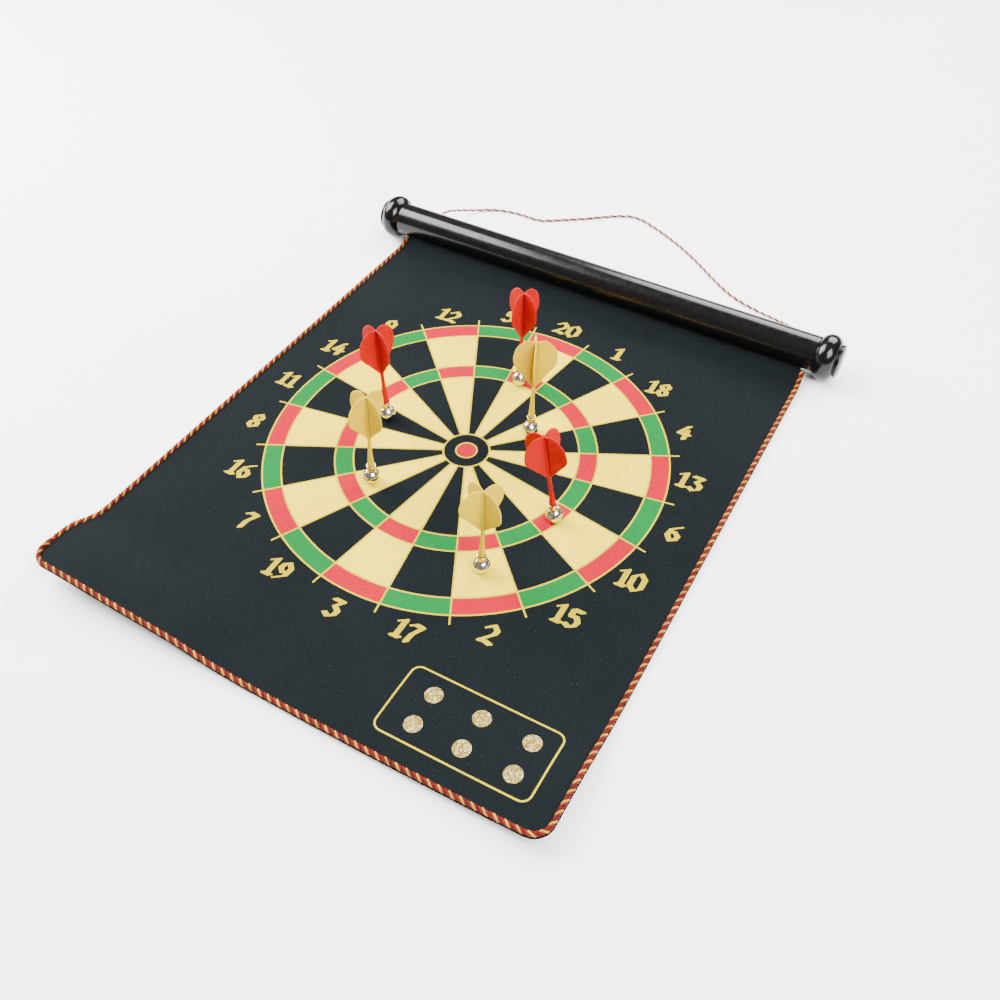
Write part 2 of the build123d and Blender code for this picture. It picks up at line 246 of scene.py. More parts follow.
def moulded_material(name, colour, roughness, bump=0.00004, scale=500.0, subsurface=0.0):
    n = Nodes(name, Roughness=roughness)
    coords = object_coords(n)
    clouds = n.noise(coords, 40.0, 3.0)
    fine = n.noise(coords, scale, 3.0, 0.6)
    darker = tuple(c * 0.86 for c in colour[:3]) + (1.0,)
    n.colour(n.mix(n.ramp(clouds, 0.35, 0.65), darker, colour))
    n.wire(n.ramp(fine, 0.3, 0.7, roughness * 0.8, roughness * 1.25), n.bsdf.inputs["Roughness"])
    n.bump(fine, bump)
    if subsurface:
        n.bsdf.inputs["Subsurface Weight"].default_value = subsurface
        n.bsdf.inputs["Subsurface Radius"].default_value = (0.004, 0.002, 0.001)
        n.bsdf.inputs["Subsurface Scale"].default_value = 1.0
    return n.mat


TUBE_BLACK = moulded_material("tube_black", (0.0025, 0.0025, 0.003, 1.0), 0.20, bump=0.00003, scale=220.0)
CAP_BLACK = moulded_material("cap_black", (0.0025, 0.0025, 0.003, 1.0), 0.16, bump=0.00002, scale=260.0)
for black in (TUBE_BLACK, CAP_BLACK):
    black.node_tree.nodes["Principled BSDF"].inputs["Specular IOR Level"].default_value = 0.32
FLIGHT_RED = moulded_material("flight_red", (0.38, 0.0, 0.0, 1.0), 0.5, subsurface=0.25)
FLIGHT_YELLOW = moulded_material("flight_yellow", (0.60, 0.44, 0.0, 1.0), 0.5, subsurface=0.25)
for flight in (FLIGHT_RED, FLIGHT_YELLOW):
    flight.node_tree.nodes["Principled BSDF"].inputs["Specular IOR Level"].default_value = 0.12


def metal_material(name, colour, roughness):
    n = Nodes(name, Roughness=roughness, Metallic=1.0)
    coords = object_coords(n)
    haze = n.noise(coords, 900.0, 3.0, 0.6)
    tarnish = n.noise(coords, 120.0, 3.0)
    darker = tuple(c * 0.82 for c in colour[:3]) + (1.0,)
    n.colour(n.mix(n.ramp(tarnish, 0.4, 0.7), colour, darker))
    n.wire(n.ramp(haze, 0.3, 0.7, roughness * 0.7, roughness * 1.5), n.bsdf.inputs["Roughness"])
    n.bump(haze, 0.00002)
    return n.mat


CHROME = metal_material("dart_chrome", (0.80, 0.78, 0.74, 1.0), 0.07)
BRASS = metal_material("dart_brass", (0.80, 0.58, 0.30, 1.0), 0.20)
NICKEL = metal_material("magnet_nickel", (0.62, 0.61, 0.58, 1.0), 0.22)
STEEL = metal_material("rod_steel", (0.55, 0.55, 0.56, 1.0), 0.30)


def shade_node(node, material):
    obj = frame["nodes"][node]
    for slot in obj.material_slots:
        slot.material = material
    if not obj.material_slots:
        obj.data.materials.append(material)


# ------------------------------------------------------------------ the tube's place, from its joint
lift_joint = joints["mat_lift"]
ALONG = -Vector(lift_joint["axis"]).normalized()  # along the tube, to the right
ACROSS = Vector((-ALONG.y, ALONG.x, 0))  # towards the back of the tube
tube_low, tube_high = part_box("roller_tube")
TUBE_CENTRE = Vector([(low + high) / 2 for low, high in zip(tube_low, tube_high)])


# ------------------------------------------------------------------ hanging cord
CORD_PITCH = 0.0074  # one full turn of the twist
CORD_STRANDS = [(0.00040, 0.00078), (0.00060, 0.00052)]  # red, white: off the cord's centre, thread radius
CORD_ROUTE = [
    (-0.159780, 0.218157, 0.0175), (-0.159652, 0.225706, 0.0175),
    (-0.1606, 0.238, 0.0155), (-0.1596, 0.256, 0.007),
    (-0.1516, 0.271, 0.0015), (-0.1346, 0.283, 0.0011), (-0.1116, 0.286, 0.0011), (-0.0926, 0.284, 0.0011),
    (-0.0776, 0.294, 0.0011), (-0.0536, 0.311, 0.0011), (-0.0356, 0.326, 0.0011), (-0.0196, 0.333, 0.0011),
    (0.0014, 0.325, 0.0011), (0.0264, 0.312, 0.0011), (0.0524, 0.295, 0.0011), (0.0744, 0.277, 0.0011),
    (0.0964, 0.261, 0.0011), (0.1184, 0.252, 0.0018), (0.1394, 0.243, 0.005), (0.1564, 0.229, 0.013),
    (0.160302, 0.220289, 0.0175), (0.160174, 0.212740, 0.0175),
]


def nurbs_line(name, points):
    """The points of a smooth line over these control points."""
    curve = bpy.data.curves.new(name, "CURVE")
    curve.dimensions = "3D"
    curve.resolution_u = 24
    spline = curve.splines.new("NURBS")
    spline.points.add(len(points) - 1)
    for point, place in zip(spline.points, points):
        point.co = (*place, 1.0)
    spline.order_u = 3
    spline.use_endpoint_u = True
    obj = link(bpy.data.objects.new(name, curve))
    bpy.context.view_layer.update()
    mesh = bpy.data.meshes.new_from_object(obj)
    line = np.array([v.co for v in mesh.vertices])
    bpy.data.meshes.remove(mesh)
    bpy.data.objects.remove(obj)
    bpy.data.curves.remove(curve)
    return line


def resample(line, step):
    """Even points along a polyline."""
    lengths = np.r_[0, np.cumsum(np.linalg.norm(np.diff(line, axis=0), axis=1))]
    count = max(2, int(round(lengths[-1] / step)) + 1)
    at = np.linspace(0, lengths[-1], count)
    return np.column_stack([np.interp(at, lengths, line[:, i]) for i in range(3)]), at


def frames_along(points):
    """Tangent and two normals at each point, turning as little as possible."""
    tangents = np.gradient(points, axis=0)
    tangents /= np.linalg.norm(tangents, axis=1)[:, None]
    normals = np.empty_like(points)
    up = np.array((0, 0, 1), float)
    for i, t in enumerate(tangents):
        up = up - t * (up @ t)
        up /= np.linalg.norm(up)
        normals[i] = up
    return tangents, normals, np.cross(tangents, normals)


def strand_mesh(points, normals, binormals, at, radius, thread, pitch, phase, sides=8, wobble=0.0, seed=0.0):
    """One strand of a twisted cord: rings stand square to the cord's own line, so that cut pieces meet."""
    turn = 2 * math.pi * at / pitch + phase
    slow = np.sin(at * 2 * math.pi / (pitch * 3.7) + seed)
    quick = np.sin(at * 2 * math.pi / (pitch * 1.31) + 2 * seed)
    wave = wobble * (slow + 0.6 * quick)
    outward = np.cos(turn)[:, None] * normals + np.sin(turn)[:, None] * binormals
    centre = points + (radius + wave)[:, None] * outward
    verts = []
    for k in range(sides):
        a = 2 * math.pi * k / sides
        verts.append(centre + thread * (math.cos(a) * normals + math.sin(a) * binormals))
    verts = np.stack(verts, axis=1).reshape(-1, 3)
    faces = []
    for i in range(len(points) - 1):
        for k in range(sides):
            a, b = i * sides + k, i * sides + (k + 1) % sides
            faces.append((a, b, b + sides, a + sides))
    faces.append(tuple(reversed(range(sides))))
    faces.append(tuple(range((len(points) - 1) * sides, len(points) * sides)))
    return verts, faces


def join(parts):
    """Several (verts, faces, material index) as one set of arrays."""
    verts, faces, index, base = [], [], [], 0
    for v, f, m in parts:
        verts.append(np.asarray(v, float))
        faces += [[i + base for i in face] for face in f]
        index += [m] * len(f)
        base += len(v)
    return np.concatenate(verts), faces, index


cord_line = nurbs_line("cord_line", CORD_ROUTE)
cord_points, cord_at = resample(cord_line, 0.0006)
_, cord_n, cord_b = frames_along(cord_points)
cord_parts = []
for strand, (off_centre, thread) in enumerate(CORD_STRANDS):
    v, f = strand_mesh(
        cord_points, cord_n, cord_b, cord_at, off_centre, thread, CORD_PITCH, strand * math.pi, 10
    )
    cord_parts.append((v, f, strand))
v, f, index = join(cord_parts)
cord = mesh_object("hanging_cord_twist", v, f, [CORD_RED, CORD_WHITE], index)
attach(cord, "roller")
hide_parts("hanging_cord")
shade_node("cord_knots", CORD_RED)


# ------------------------------------------------------------------ sheet: from flat millimetres to space
SHEET_T = 2.0  # full thickness
LEDGE_T = 0.8  # back cloth alone, under the piping
back_low, back_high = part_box("mat_back_cloth")
front_low, front_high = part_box("mat_front_cloth")
MAT_X = (back_low.x + back_high.x) / 2 / MM
MAT_HALF = (back_high.x - back_low.x) / 2 / MM
FRONT_HALF = (front_high.x - front_low.x) / 2 / MM
PIPING_R = 1.6
PIPING_INSET = MAT_HALF - PIPING_R
PIPING_Z = LEDGE_T + PIPING_R
MAT_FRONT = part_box("mat_strip_9")[0].y / MM
CORNER_R = 12.0
HEM_X, HEM_HALF = 1.4, 175.5
TUBE = np.array(TUBE_CENTRE) / MM
AL, AC = np.array(ALONG), np.array(ACROSS)
HINGE = np.array(lift_joint["pos_m"]) / MM
SLOT_REACH = math.hypot((HINGE - TUBE) @ AC, HINGE[2] - TUBE[2])  # tube centre to the fold line
NECK_TURN = math.radians(45)
NECK_START = SLOT_REACH + 0.5
NECK_R = (TUBE[2] - NECK_START * math.sin(NECK_TURN) - SHEET_T / 2) / (1 - math.cos(NECK_TURN))
FLAT_BACK = NECK_START * math.cos(NECK_TURN) + NECK_R * math.sin(NECK_TURN)
NECK_ARC = NECK_R * NECK_TURN
curl = [joints[f"curl_{k}"] for k in range(1, 10)]
FOLDS = [j["pos_m"][1] / MM for j in curl]
PITCH = FOLDS[0] - FOLDS[1]
DIAL = np.array([MAT_X, 0.5])  # the dial's centre

# How high the free corners stand off the floor: along the free end, and how that fades up the sheet.
EDGE_X = MAT_X + np.array([-180, -155, -125, -95, -65, -47, -31, -10, 25, 65, 105, 135, 160, 180])
EDGE_Z = np.array([14.6, 14.2, 13.4, 12.0, 9.8, 6.6, 3.9, 2.6, 2.4, 3.2, 4.6, 6.0, 7.6, 9.4])
LEFT_Y = np.array([-224.5, -203, -196, -188, -177, -165, -150])
LEFT_S = np.array([1.0, 0.88, 0.80, 0.66, 0.30, 0.03, 0.0])
RIGHT_Y = np.array([-224.5, -203, -187, -170, -155, -140, -120])
RIGHT_S = np.array([1.0, 0.93, 0.84, 0.60, 0.30, 0.08, 0.0])
# The free left corner's own curl: along the free end, and up the sheet.
CURL_X = np.array([-178.6, -156.0, -138.0, -121.0, -103.0, -86.0, -70.0])
CURL_XS = np.array([1.0, 0.88, 0.62, 0.33, 0.13, 0.03, 0.0])
CURL_Y = np.array([-224.5, -216.0, -206.0, -196.0, -184.0, -172.0])
CURL_YS = np.array([1.0, 0.86, 0.58, 0.30, 0.08, 0.0])
CURL_IN, CURL_UP = 6.0, 3.5  # how far the free left corner draws in and up


def smooth_interp(x, xs, ys):
    """Monotone cubic through the points, flat outside them."""
    x = np.clip(x, xs[0], xs[-1])
    h, d = np.diff(xs), np.diff(ys) / np.diff(xs)
    m = np.zeros(len(xs))
    for i in range(1, len(xs) - 1):
        if d[i - 1] * d[i] > 0:
            w1, w2 = 2 * h[i] + h[i - 1], h[i] + 2 * h[i - 1]
            m[i] = (w1 + w2) / (w1 / d[i - 1] + w2 / d[i])
    i = np.clip(np.searchsorted(xs, x, side="right") - 1, 0, len(xs) - 2)
    t = (x - xs[i]) / h[i]
    return (
        ys[i] * (1 + 2 * t) * (1 - t) ** 2 + m[i] * h[i] * t * (1 - t) ** 2
        + ys[i + 1] * t * t * (3 - 2 * t) + m[i + 1] * h[i] * t * t * (t - 1)
    )


def corner(u, v):
    """Share of the free left corner's curl."""
    return smooth_interp(u, CURL_X, CURL_XS) * smooth_interp(v, CURL_Y, CURL_YS)


def lift(u, v):
    """Height of the sheet's underside off the floor."""
    edge = smooth_interp(u, EDGE_X, EDGE_Z)
    left = smooth_interp(v, LEFT_Y, LEFT_S)
    right = smooth_interp(v, RIGHT_Y, RIGHT_S)
    side = smooth_interp(u, np.array([-60.0, 80.0]), np.array([0.0, 1.0]))
    return edge * (left * (1 - side) + right * side) + CURL_UP * corner(u, v)


def place(u, v, high):
    """Points of the sheet, in metres: flat coordinates u, v and height above the sheet's underside."""
    u, v, high = (np.asarray(a, float) * np.ones(np.broadcast(u, v, high).shape) for a in (u, v, high))
    flat_xy = np.stack([u, v - TUBE[1]], axis=-1)
    a, c = flat_xy @ AL[:2], flat_xy @ AC[:2]
    s = c + FLAT_BACK  # past the line where the sheet leaves the floor
    step = 0.5
    z0 = lift(u, v)
    nx = (lift(u - step, v) - lift(u + step, v)) / (2 * step)
    ny = (lift(u, v - step) - lift(u, v + step)) / (2 * step)
    norm = np.sqrt(nx**2 + ny**2 + 1)
    offset = high - SHEET_T / 2
    flat = np.stack([
        u + CURL_IN * corner(u, v) + offset * nx / norm,
        v + offset * ny / norm,
        z0 + SHEET_T / 2 + offset / norm,
    ], axis=-1)
    phi = np.clip(s / NECK_R, 0, NECK_TURN)
    run = np.maximum(s - NECK_ARC, 0)
    narrow = np.clip(s / NECK_ARC, 0, 1)
    share = (a - MAT_X) / FRONT_HALF
    a2 = (MAT_X + (HEM_X - MAT_X) * narrow) + share * (FRONT_HALF + (HEM_HALF - FRONT_HALF) * narrow)
    c2 = -FLAT_BACK + NECK_R * np.sin(phi) + run * np.cos(phi) - offset * np.sin(phi)
    z2 = SHEET_T / 2 + NECK_R * (1 - np.cos(phi)) + run * np.sin(phi) + offset * np.cos(phi)
    bent = np.stack(
        [TUBE[0] + a2 * AL[0] + c2 * AC[0], TUBE[1] + a2 * AL[1] + c2 * AC[1], z2], axis=-1
    )
    return np.where((s > 0)[..., None], bent, flat) * MM


def upward(u, v):
    """The sheet's own normals, square to its top."""
    e = 0.25
    along_u = place(u + e, v, SHEET_T) - place(u - e, v, SHEET_T)
    along_v = place(u, v + e, SHEET_T) - place(u, v - e, SHEET_T)
    n = np.cross(along_u, along_v)
    return n / np.linalg.norm(n, axis=1)[:, None]


def v_of(c, u):
    """Flat v where the sheet, at this u, is c past the tube's centre line."""
    return TUBE[1] + (c + u * AL[1]) / AL[0]


SPAN = np.array([-190.0, 190.0])  # flat u beyond both sides of the sheet, where slanting lines are given
SEAM_GAP = 3.0  # how far below the neck's bend its own piece ends
TOP_V = v_of(-FLAT_BACK + NECK_ARC + 0.97, SPAN)  # the end at the slot
SEAM_V = v_of(-FLAT_BACK - SEAM_GAP, SPAN)  # neck piece to main piece
tail_seams = [FOLDS[0] + PITCH / 2] + [f - PITCH / 2 for f in FOLDS[:-1]]  # mid-lines of the strips


def slant(ends, u):
    """Flat v of a line across the sheet, at this u."""
    return float(np.interp(u, SPAN, ends))


# ------------------------------------------------------------------ print
R_DIAL = 140.0
LINE = 1.15
R_DOUBLE, R_DOUBLE_IN, R_TRIPLE, R_TRIPLE_IN = 1.0 * R_DIAL, 0.9086 * R_DIAL, 0.6483 * R_DIAL, 0.5573 * R_DIAL
R_BULL, R_EYE = 0.1147 * R_DIAL, 0.052 * R_DIAL
R_TICK = 1.05 * R_DIAL
NUMBERS = [20, 1, 18, 4, 13, 6, 10, 15, 2, 17, 3, 19, 7, 16, 8, 11, 14, 9, 12, 5]
SECTOR = 360 / len(NUMBERS)  # degrees
CREAM_NUMBERS = {20, 18, 13, 10, 2, 3, 7, 8, 14, 12}
R_NUMBER = 1.103 * R_DIAL
NUMBER_H = 14.2
BOX_LOW, BOX_HIGH, BOX_R = np.array([66.4, -210.0]), np.array([163.9, -163.0]), 6.0
BOX_LINE = 1.1  # width of its line
DOTS = [(x, y) for y in (-176.5, -197.6) for x in (86.7, 117.6, 148.9)]
DOT_R = 5.4

# Broad-nib digits: strokes in a box 0..w wide and 0..1 high.
DIGITS = {
    "0": (0.62, [
        [(0.31, 1.0), (0.06, 0.78), (0.06, 0.22), (0.31, 0.0)],
        [(0.31, 1.0), (0.56, 0.78), (0.56, 0.22), (0.31, 0.0)],
    ]),
    "1": (0.42, [
        [(0.02, 0.80), (0.24, 0.96), (0.24, 0.06)],
        [(0.06, 0.04), (0.42, 0.04)],
    ]),
    "2": (0.62, [
        [(0.08, 0.76), (0.30, 0.98), (0.54, 0.78), (0.50, 0.56), (0.08, 0.08)],
        [(0.06, 0.06), (0.30, 0.10), (0.58, 0.04)],
    ]),
    "3": (0.60, [
        [(0.08, 0.92), (0.52, 0.92), (0.28, 0.60)],
        [(0.28, 0.60), (0.54, 0.42), (0.50, 0.16), (0.28, 0.02), (0.06, 0.14)],
    ]),
    "4": (0.62, [
        [(0.40, 1.0), (0.06, 0.36), (0.60, 0.36)],
        [(0.42, 0.66), (0.42, 0.0)],
    ]),
    "5": (0.60, [
        [(0.54, 0.94), (0.14, 0.94), (0.14, 0.58)],
        [(0.14, 0.58), (0.40, 0.60), (0.54, 0.38), (0.46, 0.12), (0.26, 0.02), (0.06, 0.12)],
    ]),
    "6": (0.60, [
        [(0.50, 0.98), (0.16, 0.72), (0.08, 0.30), (0.30, 0.02)],
        [(0.10, 0.46), (0.34, 0.58), (0.54, 0.40), (0.50, 0.14), (0.30, 0.02)],
    ]),
    "7": (0.60, [
        [(0.06, 0.84), (0.18, 0.94), (0.54, 0.92), (0.28, 0.44), (0.24, 0.0)],
    ]),
    "8": (0.60, [
        [(0.30, 0.98), (0.10, 0.80), (0.14, 0.62), (0.48, 0.40), (0.50, 0.16), (0.30, 0.02)],
        [(0.30, 0.98), (0.50, 0.80), (0.46, 0.62), (0.12, 0.40), (0.10, 0.16), (0.30, 0.02)],
    ]),
    "9": (0.60, [
        [(0.50, 0.54), (0.26, 0.42), (0.06, 0.62), (0.12, 0.88), (0.30, 0.98)],
        [(0.30, 0.98), (0.52, 0.74), (0.48, 0.30), (0.12, 0.02)],
    ]),
}
NIB = np.array([[-0.095, -0.070], [0.095, 0.070]])
NIB_T = 0.030


def convex_hull(points):
    points = sorted(map(tuple, points))

    def turn(a, b, c):
        return (b[0] - a[0]) * (c[1] - a[1]) - (b[1] - a[1]) * (c[0] - a[0])

    def half(seq):
        out = []
        for p in seq:
            while len(out) > 1 and turn(out[-2], out[-1], p) <= 0:
                out.pop()
            out.append(p)
        return out[:-1]

    return np.array(half(points) + half(reversed(points)))


def nib_corners(centre):
    a, b = NIB[0] + centre, NIB[1] + centre
    return np.array([a + (-NIB_T, NIB_T), a + (NIB_T, -NIB_T), b + (-NIB_T, NIB_T), b + (NIB_T, -NIB_T)])


def number_hulls(text, centre, height):
    """Convex pieces of a number's strokes, in flat millimetres."""
    gap = 0.12
    width = sum(DIGITS[c][0] for c in text) + gap * (len(text) - 1)
    x, hulls = -width / 2, []
    for c in text:
        digit_width, strokes = DIGITS[c]
        for stroke in strokes:
            pts = np.array(stroke) + (x, -0.5)
            for a, b in zip(pts, pts[1:]):
                hulls.append(convex_hull(np.concatenate([nib_corners(a), nib_corners(b)])) * height + centre)
        x += digit_width + gap
    return hulls


number_polys = []
for i, number in enumerate(NUMBERS):
    angle = math.radians(SECTOR * i)
    centre = DIAL + R_NUMBER * np.array([math.sin(angle), math.cos(angle)])
    number_polys += number_hulls(str(number), centre, NUMBER_H)


def rounded_box(low, high, radius, steps=6):
    out = []
    corners = [(high[0] - radius, high[1] - radius, 0), (low[0] + radius, high[1] - radius, 90),
               (low[0] + radius, low[1] + radius, 180), (high[0] - radius, low[1] + radius, 270)]
    for cx, cy, start in corners:
        for k in range(steps + 1):
            a = math.radians(start + 90 * k / steps)
            out.append((cx + radius * math.cos(a), cy + radius * math.sin(a)))
    return np.array(out)


def in_rounded_box(p, low, high, radius):
    q = np.abs(p - (low + high) / 2) - (high - low) / 2 + radius
    return np.hypot(*np.maximum(q, 0).T) + np.minimum(q.max(axis=1), 0) < radius


def in_convex(p, poly):
    inside = np.ones(len(p), bool)
    for a, b in zip(poly, np.roll(poly, -1, axis=0)):
        inside &= (b[0] - a[0]) * (p[:, 1] - a[1]) - (b[1] - a[1]) * (p[:, 0] - a[0]) >= 0
    return inside


def print_colour(p):
    """Material index of each flat point."""
    out = np.full(len(p), K_BLACK)
    d = p - DIAL
    r, angle = np.hypot(*d.T), np.degrees(np.arctan2(d[:, 0], d[:, 1])) % 360
    sector = ((angle + SECTOR / 2) // SECTOR).astype(int) % len(NUMBERS)
    cream = np.array([n in CREAM_NUMBERS for n in NUMBERS])[sector]
    field = (r < R_DOUBLE_IN) & (r > R_BULL)
    out[field & cream] = K_CREAM
    for high, low in ((R_DOUBLE, R_DOUBLE_IN), (R_TRIPLE, R_TRIPLE_IN)):
        ring = (r < high) & (r > low)
        out[ring] = np.where(cream[ring], K_RED, K_GREEN)
    off = np.abs((angle % SECTOR) - SECTOR / 2)  # degrees from a sector's edge
    line = (r * np.radians(off) < LINE / 2) & (r > R_BULL) & (r < R_TICK)
    for radius in (R_DOUBLE, R_DOUBLE_IN, R_TRIPLE, R_TRIPLE_IN, R_BULL, R_EYE):
        line |= np.abs(r - radius) < LINE / 2
    out[r < R_EYE] = K_RED
    out[line] = K_YELLOW
    for poly in number_polys:
        near = np.hypot(*(p - poly.mean(axis=0)).T) < NUMBER_H
        hit = np.zeros(len(p), bool)
        hit[near] = in_convex(p[near], poly)
        out[hit] = K_GOLD
    in_line = in_rounded_box(p, BOX_LOW + BOX_LINE, BOX_HIGH - BOX_LINE, BOX_R - BOX_LINE)
    out[in_rounded_box(p, BOX_LOW, BOX_HIGH, BOX_R) & ~in_line] = K_YELLOW
    for dot in DOTS:
        out[np.hypot(*(p - dot).T) < DOT_R] = K_GLITTER
    return out


class Plan:
    """Points and edges of the flat sheet, ready for triangulation."""

    def __init__(self):
        self.points, self.edges = [], []

    def add(self, pts):
        first = len(self.points)
        self.points += [tuple(map(float, p)) for p in pts]
        return first

    def loop(self, pts):
        first = self.add(pts)
        n = len(pts)
        self.edges += [(first + i, first + (i + 1) % n) for i in range(n)]

    def path(self, pts):
        first = self.add(pts)
        self.edges += [(first + i, first + i + 1) for i in range(len(pts) - 1)]


def circle(centre, radius, count):
    a = np.linspace(0, 2 * math.pi, count, endpoint=False)
    return np.column_stack([centre[0] + radius * np.sin(a), centre[1] + radius * np.cos(a)])


def sheet_outline(half, front, radius, steps=10):
    """Outline of the sheet in flat millimetres, at this half width, round its free corners."""
    out = []
    for cx, start in ((MAT_X - half + radius, 180), (MAT_X + half - radius, 270)):
        for k in range(steps + 1):
            a = math.radians(start + 90 * k / steps)
            out.append((cx + radius * math.cos(a), front + radius + radius * math.sin(a)))
    left, right = MAT_X - half, MAT_X + half
    return np.array(out + [(right, slant(TOP_V, right)), (left, slant(TOP_V, left))])


def in_outline(p, half, front, radius):
    x = np.abs(p[:, 0] - MAT_X)
    inside = (x < half) & (p[:, 1] > front) & (p[:, 1] < np.interp(p[:, 0], SPAN, TOP_V))
    corner = (x > half - radius) & (p[:, 1] < front + radius)
    inside[corner] = np.hypot(x[corner] - half + radius, p[corner, 1] - front - radius) < radius
    return inside


def divided(poly, step_x=5.0, step_y=1.3):
    """A closed outline with points added along its long sides."""
    out = []
    for p, q in zip(poly, np.roll(poly, -1, axis=0)):
        count = max(1, int(round(abs(q[0] - p[0]) / step_x)), int(round(abs(q[1] - p[1]) / step_y)))
        out += [p + (q - p) * i / count for i in range(count)]
    return np.array(out)


RIM = MAT_HALF - FRONT_HALF
GRID = 9.0  # spacing of the flat part's own points
plan = Plan()
plan.loop(divided(sheet_outline(MAT_HALF, MAT_FRONT, CORNER_R)))
plan.loop(divided(sheet_outline(FRONT_HALF + 0.5, MAT_FRONT + RIM - 0.5, CORNER_R - RIM + 0.5)))
plan.loop(divided(sheet_outline(FRONT_HALF, MAT_FRONT + RIM, CORNER_R - RIM)))
for radius in (R_DOUBLE, R_DOUBLE_IN, R_TRIPLE, R_TRIPLE_IN):
    for edge in (-LINE / 2, LINE / 2):
        plan.loop(circle(DIAL, radius + edge, 240))
for radius in (R_BULL, R_EYE):
    for edge in (-LINE / 2, LINE / 2):
        plan.loop(circle(DIAL, radius + edge, 80))
for i in range(len(NUMBERS)):
    a = math.radians(SECTOR / 2 + SECTOR * i)
    out_dir, side_dir = np.array([math.sin(a), math.cos(a)]), np.array([math.cos(a), -math.sin(a)])
    for side in (-1, 1):
        radii = np.linspace(R_BULL, R_TICK, 14)
        plan.path([DIAL + out_dir * r + side_dir * side * LINE / 2 for r in radii])
    plan.path([DIAL + out_dir * R_TICK + side_dir * side * LINE / 2 for side in (-1, 1)])
for poly in number_polys:
    plan.loop(poly)
plan.loop(divided(rounded_box(BOX_LOW, BOX_HIGH, BOX_R)))
plan.loop(divided(rounded_box(BOX_LOW + BOX_LINE, BOX_HIGH - BOX_LINE, BOX_R - BOX_LINE)))
for dot in DOTS:
    plan.loop(circle(dot, DOT_R, 28))
for v in tail_seams:
    plan.path([(x, v) for x in np.linspace(*SPAN, 49)])
for c in (-FLAT_BACK - SEAM_GAP, -FLAT_BACK):
    plan.path([(x, v_of(c, x)) for x in np.linspace(*SPAN, 20)])
for v in np.arange(MAT_FRONT + 0.8, tail_seams[0] - 0.5, PITCH / 10):
    if min(abs(v - s) for s in tail_seams) > 0.4:
        plan.add([(x, v) for x in np.arange(-177, 181, 7.5)])
for v in np.arange(tail_seams[0] + 5, SEAM_V.min() - 3, GRID):
    plan.add([(x, v) for x in np.arange(-176, 180, GRID)])
for c in np.arange(-FLAT_BACK + 1.2, -FLAT_BACK + NECK_ARC, 1.2):
    plan.add([(x, v_of(c, x)) for x in np.arange(-176, 180, GRID)])

flat_points, _, triangles, _, _, _ = delaunay_2d_cdt(
    [Vector(p) for p in plan.points], plan.edges, [], 0, 0.0005
)
flat_points = np.array([tuple(p) for p in flat_points])
triangles = np.array([t for t in triangles if len(t) == 3])
a, b, c = (flat_points[triangles[:, i]] for i in range(3))
area = 0.5 * ((b - a)[:, 0] * (c - a)[:, 1] - (b - a)[:, 1] * (c - a)[:, 0])  # square millimetres
triangles[area < 0] = triangles[area < 0][:, ::-1]
middle = (a + b + c) / 3
keep = in_outline(middle, MAT_HALF, MAT_FRONT, CORNER_R)
triangles, middle, area = triangles[keep], middle[keep], area[keep]
colour_of = print_colour(middle)
rim_tri = ~in_outline(middle, FRONT_HALF, MAT_FRONT + RIM, CORNER_R - RIM)
colour_of[rim_tri] = K_BACK
EDGE_SLACK = 0.05  # so that the front cloth's own edge counts as inside it
in_front = in_outline(
    flat_points, FRONT_HALF + EDGE_SLACK, MAT_FRONT + RIM - EDGE_SLACK, CORNER_R - RIM + EDGE_SLACK
)
thickness = np.where(in_front, SHEET_T, LEDGE_T)
seam_v = np.interp(middle[:, 0], SPAN, SEAM_V)
band = np.zeros(len(triangles), int)  # 0 neck, 1 main, 2.. the tail's pieces
band[middle[:, 1] < seam_v] = 1
for k, v in enumerate(tail_seams):
    band[middle[:, 1] < v] = 2 + k


def sheet_piece(name, which):
    """A closed piece of the sheet: printed top, plain back and the cut faces between them."""
    tri, mat = triangles[band == which], colour_of[band == which]
    used, tri = np.unique(tri, return_inverse=True)
    tri = tri.reshape(-1, 3)
    uv = flat_points[used]
    n = len(used)
    top = place(uv[:, 0], uv[:, 1], thickness[used])
    under = place(uv[:, 0], uv[:, 1], 0.0)
    edges = {}
    for t in tri:
        for i in range(3):
            e = (t[i], t[(i + 1) % 3])
            edges[e] = edges.get(e, 0) + 1
    walls = [(a, n + a, n + b, b) for a, b in edges if (b, a) not in edges]
    faces = [tuple(t) for t in tri] + [tuple(n + i for i in t[::-1]) for t in tri] + walls
    index = list(mat) + [K_BACK] * (len(tri) + len(walls))
    both = np.concatenate([uv, uv]) * MM
    obj = mesh_object(name, np.concatenate([top, under]), faces, PRINT, index, True, both)
    smooth = np.r_[np.ones(2 * len(tri), bool), np.zeros(len(walls), bool)]
    obj.data.polygons.foreach_set("use_smooth", smooth)
    normals = upward(uv[:, 0], uv[:, 1])
    corners = np.zeros((len(obj.data.loops), 3))  # the cut faces keep their own
    corners[:3 * len(tri)] = normals[tri.ravel()]
    corners[3 * len(tri):6 * len(tri)] = -normals[tri[:, ::-1].ravel()]
    obj.data.normals_split_custom_set(corners.tolist())
    return obj


